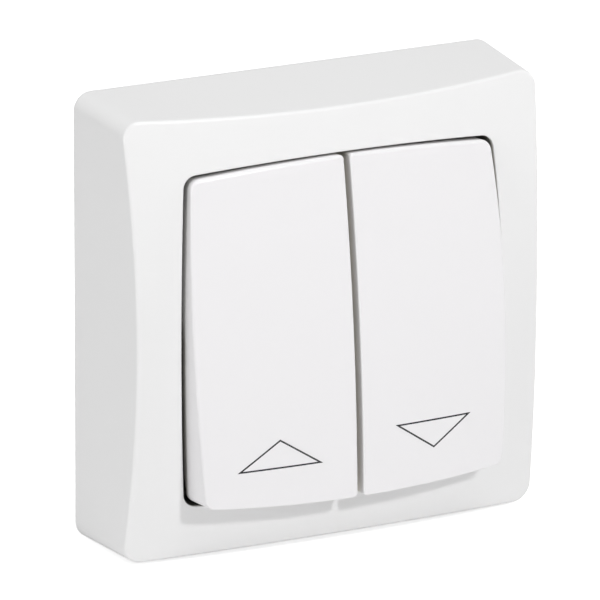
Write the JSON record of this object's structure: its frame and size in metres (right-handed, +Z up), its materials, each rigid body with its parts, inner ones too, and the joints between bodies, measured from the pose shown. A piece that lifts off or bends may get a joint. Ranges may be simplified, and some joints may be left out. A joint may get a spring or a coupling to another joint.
{
  "type": "roller shutter switch",
  "caption": "Surface-mounted roller shutter switch with a square domed frame and side-by-side rocker keys for up and down, on a wall base with screw terminals.",
  "frame": {"origin": "centre of the flat back, on the wall plane", "axes": "+X to the right seen from the room, +Z up, -Y out of the wall towards the room"},
  "size_m": [0.075, 0.028, 0.075],
  "materials": {
    "housing": "smooth semi-gloss white",
    "keys": "smooth semi-gloss white",
    "base_plastic": "matte white",
    "insulation": "matte black",
    "carrier_plastic": "matte black",
    "plunger_plastic": "natural nylon",
    "bar_plastic": "matte red-brown",
    "spring_steel": "bright drawn wire",
    "brass": "stamped brass",
    "silver": "silver contact alloy",
    "clamp_steel": "yellow zinc plated",
    "screw_steel": "zinc plated"
  },
  "bodies": {
    "base": {"wall_base": "base_plastic", "cover_frame": "housing", "mechanism_body": "insulation", "bridge": "insulation", "up_terminal": "brass", "down_terminal": "brass", "common_terminal": "brass", "fixed_contacts": "silver", "cage_clamps": "clamp_steel", "terminal_screws": "clamp_steel", "mounting_screws": "screw_steel"},
    "up_rocker": {"up_key": "keys", "up_carrier": "carrier_plastic", "up_plunger": "plunger_plastic", "up_spring": "spring_steel"},
    "down_rocker": {"down_key": "keys", "down_carrier": "carrier_plastic", "down_plunger": "plunger_plastic", "down_spring": "spring_steel"},
    "up_moving_contact": {"up_contact": "brass", "up_contact_tip": "silver"},
    "down_moving_contact": {"down_contact": "brass", "down_contact_tip": "silver"},
    "interlock": {"interlock_bar": "bar_plastic"}
  },
  "joints": [
    {"name": "up_key_rock", "type": "hinge", "parent": "base", "child": "up_rocker", "pos_m": [-0.0142, -0.0193, 0], "axis": [1, 0, 0], "range_deg": [0, 11.88]},
    {"name": "down_key_rock", "type": "hinge", "parent": "base", "child": "down_rocker", "pos_m": [0.0142, -0.0193, 0], "axis": [1, 0, 0], "range_deg": [0, 11.88]},
    {"name": "up_contact_rock", "type": "hinge", "parent": "base", "child": "up_moving_contact", "pos_m": [-0.0142, -0.0084, 0], "axis": [1, 0, 0], "range_deg": [-11.88, 0]},
    {"name": "down_contact_rock", "type": "hinge", "parent": "base", "child": "down_moving_contact", "pos_m": [0.0142, -0.0084, 0], "axis": [1, 0, 0], "range_deg": [-11.88, 0]},
    {"name": "interlock_slide", "type": "slide", "parent": "base", "child": "interlock", "axis": [1, 0, 0], "range_m": [-0.0012, 0.0012]}
  ],
  "couplings": [
    {"joint": "up_contact_rock", "follows": "up_key_rock", "ratio": -1},
    {"joint": "down_contact_rock", "follows": "down_key_rock", "ratio": -1}
  ]
}
